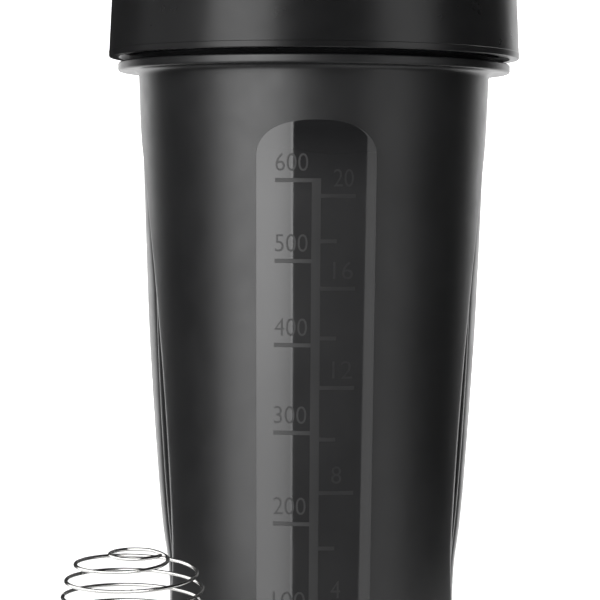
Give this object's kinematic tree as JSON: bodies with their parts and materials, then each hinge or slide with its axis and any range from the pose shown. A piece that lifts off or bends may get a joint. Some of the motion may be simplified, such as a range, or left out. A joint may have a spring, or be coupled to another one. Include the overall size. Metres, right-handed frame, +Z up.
{
  "type": "shaker bottle",
  "caption": "Black tapered shaker cup with side grips, screw-on lid with drinking spout, flip cap and carry loop, and a loose wire whisk ball.",
  "frame": {"origin": "on the cup's axis, in the plane its foot stands on", "axes": "+Z up along the cup's axis; -Y toward the volume scale, the side the picture shows; -X toward the drinking spout; +X toward the folded carry loop"},
  "size_m": [0.111, 0.1217, 0.211],
  "materials": {
    "cup_matt_black": "matt with a glossy scale panel",
    "lid_gloss_black": "gloss",
    "gasket_rubber": "satin",
    "cap_gloss_black": "gloss",
    "seal_rubber": "satin",
    "pin_steel": "ground",
    "loop_gloss_black": "gloss",
    "whisk_wire": "bright drawn wire"
  },
  "bodies": {
    "cup": {"cup": "cup_matt_black"},
    "seal_ring": {"lid_gasket": "gasket_rubber"},
    "lid": {"lid_shell": "lid_gloss_black", "hinge_pin": "pin_steel"},
    "spout_cap": {"flip_cap": "cap_gloss_black", "spout_seal": "seal_rubber"},
    "loop": {"carry_loop": "loop_gloss_black"},
    "ball": {"whisk_ball": "whisk_wire"}
  },
  "joints": [
    {"name": "lid_rise", "type": "slide", "parent": "cup", "child": "seal_ring", "axis": [0, 0, 1], "range_m": [0, 0.0181]},
    {"name": "lid_turn", "type": "hinge", "parent": "seal_ring", "child": "lid", "pos_m": [0, 0, 0.17], "axis": [0, 0, 1], "range_deg": [0, 1080]},
    {"name": "spout_cap_hinge", "type": "hinge", "parent": "lid", "child": "spout_cap", "pos_m": [-0.006, 0, 0.203], "axis": [0, 1, 0], "range_deg": [0, 150]},
    {"name": "carry_loop_hinge", "type": "hinge", "parent": "lid", "child": "loop", "pos_m": [-0.006, 0, 0.203], "axis": [0, -1, 0], "range_deg": [0, 125]},
    {"name": "whisk_ball_lift", "type": "slide", "parent": "cup", "child": "ball", "axis": [0, 0, 1], "range_m": [0, 0.11]}
  ],
  "couplings": [
    {"joint": "lid_rise", "follows": "lid_turn", "m_per_rad": 0.00095493}
  ]
}
